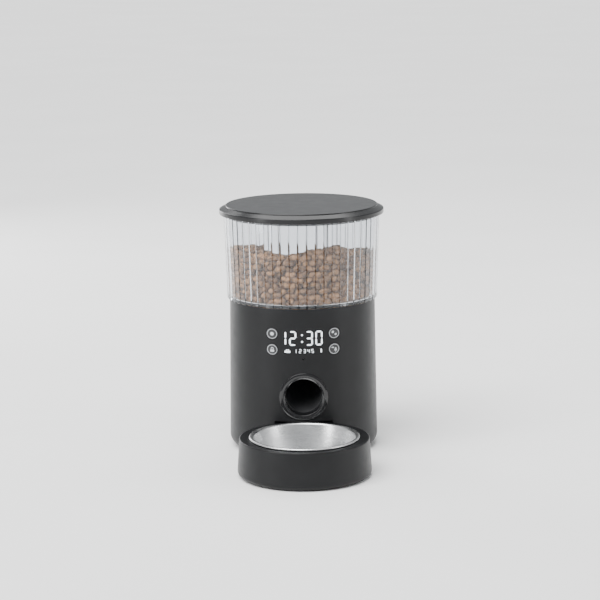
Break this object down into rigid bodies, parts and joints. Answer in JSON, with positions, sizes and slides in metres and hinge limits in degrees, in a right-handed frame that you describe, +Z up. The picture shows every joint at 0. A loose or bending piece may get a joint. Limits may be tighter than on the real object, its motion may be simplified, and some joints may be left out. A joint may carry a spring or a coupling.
{
  "type": "automatic pet feeder",
  "caption": "Automatic dry-food pet feeder with a clear fluted hopper on a round body, a clock display and keys, a geared metering rotor, a round outlet and a steel bowl in a round stand.",
  "frame": {"origin": "on the surface the feeder stands on, at the middle of the footprint's bounding box, between the front of the bowl stand and the back of the lid", "axes": "+Z up. The front, with the outlet and bowl, faces -Y, and +Y points to the back. The body's vertical axis is at y = 0.0592 m and the bowl's at y = -0.0816 m."},
  "size_m": [0.18, 0.2984, 0.269],
  "materials": {
    "lid_gloss": "satin",
    "inner_plastic": "fine moulded",
    "seal_rubber": "matte",
    "smoked_clear": "clear, lightly smoked plastic",
    "body_matte": "fine matte",
    "gloss_trim": "gloss",
    "diffuser": "translucent white",
    "screw_steel": "zinc plated",
    "foot_rubber": "matte",
    "rotor_grey": "moulded",
    "bronze": "machined",
    "gearbox_grey": "moulded",
    "gear_white": "natural acetal",
    "motor_can": "plated",
    "sensor_dark": "dark clear epoxy",
    "cell_jacket": "printed sleeve",
    "board_green": "solder mask",
    "wire_sleeve": "braided sleeve",
    "key_grey": "satin",
    "bowl_steel": "brushed stainless"
  },
  "bodies": {
    "body": {"main_shell": "body_matte", "outlet_ring": "gloss_trim", "light_guide": "diffuser", "hopper_well": "inner_plastic", "base_plate": "body_matte", "case_screws": "screw_steel", "feet": "foot_rubber", "speaker_grille_mesh": "foot_rubber", "metering_drum": "inner_plastic", "metering_baffle": "inner_plastic", "shaft_bushes": "bronze", "shaft_seal": "seal_rubber", "frame_screws": "screw_steel", "gearbox_base": "gearbox_grey", "gearbox_cover": "gearbox_grey", "gearbox_screws": "screw_steel", "idler_axle": "screw_steel", "motor": "motor_can", "motor_cap": "gear_white", "chute": "inner_plastic", "chute_sensors": "sensor_dark", "battery_box": "inner_plastic", "batteries": "cell_jacket", "battery_contacts": "screw_steel", "battery_springs": "screw_steel", "main_board": "board_green", "board_posts": "inner_plastic", "display_module": "gloss_trim", "key_switches": "motor_can", "speaker": "gloss_trim", "microphone": "motor_can", "power_board": "board_green", "power_inlet": "motor_can", "wires": "wire_sleeve"},
    "hopper": {"hopper": "smoked_clear"},
    "lid": {"lid_cover": "lid_gloss", "lid_liner": "inner_plastic", "lid_seal": "seal_rubber", "desiccant_cup": "inner_plastic"},
    "desiccant_cap": {"desiccant_cap": "inner_plastic"},
    "rotor": {"rotor": "rotor_grey", "agitator": "rotor_grey", "drive_shaft": "screw_steel", "output_gear": "gear_white"},
    "idler": {"idler_gear": "gear_white"},
    "motor_drive": {"motor_pinion": "bronze", "motor_shaft": "screw_steel"},
    "battery_cover": {"battery_cover": "body_matte"},
    "key_clock": {"key_clock": "key_grey"},
    "key_lock": {"key_lock": "key_grey"},
    "key_feed": {"key_feed": "key_grey"},
    "key_record": {"key_record": "key_grey"},
    "bowl_stand": {"bowl_stand": "body_matte", "stand_pads": "foot_rubber"},
    "bowl": {"bowl": "bowl_steel"}
  },
  "joints": [
    {"name": "hopper_lift", "type": "slide", "parent": "body", "child": "hopper", "axis": [0, 0, 1], "range_m": [0, 0.06]},
    {"name": "lid_lift", "type": "slide", "parent": "hopper", "child": "lid", "axis": [0, 0, 1], "range_m": [0, 0.08]},
    {"name": "desiccant_twist", "type": "hinge", "parent": "lid", "child": "desiccant_cap", "pos_m": [0, 0.0592, 0.25], "axis": [0, 0, 1], "range_deg": [0, 60]},
    {"name": "rotor_spin", "type": "hinge", "parent": "body", "child": "rotor", "pos_m": [0, 0.0592, 0.11], "axis": [0, 0, 1], "continuous": true},
    {"name": "idler_spin", "type": "hinge", "parent": "body", "child": "idler", "pos_m": [0.00699, 0.08528, 0.062], "axis": [0, 0, 1], "continuous": true},
    {"name": "motor_spin", "type": "hinge", "parent": "body", "child": "motor_drive", "pos_m": [0, 0.11136, 0.062], "axis": [0, 0, 1], "continuous": true},
    {"name": "battery_door", "type": "hinge", "parent": "body", "child": "battery_cover", "pos_m": [0, 0.0923, 0.0028], "axis": [1, 0, 0], "range_deg": [0, 110]},
    {"name": "key_clock_press", "type": "slide", "parent": "body", "child": "key_clock", "axis": [0, 1, 0], "range_m": [0, 0.0008], "stiffness_N_per_m": 800},
    {"name": "key_lock_press", "type": "slide", "parent": "body", "child": "key_lock", "axis": [0, 1, 0], "range_m": [0, 0.0008], "stiffness_N_per_m": 800},
    {"name": "key_feed_press", "type": "slide", "parent": "body", "child": "key_feed", "axis": [0, 1, 0], "range_m": [0, 0.0008], "stiffness_N_per_m": 800},
    {"name": "key_record_press", "type": "slide", "parent": "body", "child": "key_record", "axis": [0, 1, 0], "range_m": [0, 0.0008], "stiffness_N_per_m": 800},
    {"name": "stand_slide", "type": "slide", "parent": "body", "child": "bowl_stand", "axis": [0, -1, 0], "range_m": [0, 0.05]},
    {"name": "bowl_lift", "type": "slide", "parent": "bowl_stand", "child": "bowl", "axis": [0, 0, 1], "range_m": [0, 0.06]}
  ],
  "couplings": [
    {"joint": "idler_spin", "follows": "rotor_spin", "ratio": -3.5},
    {"joint": "motor_spin", "follows": "rotor_spin", "ratio": 12.25}
  ]
}
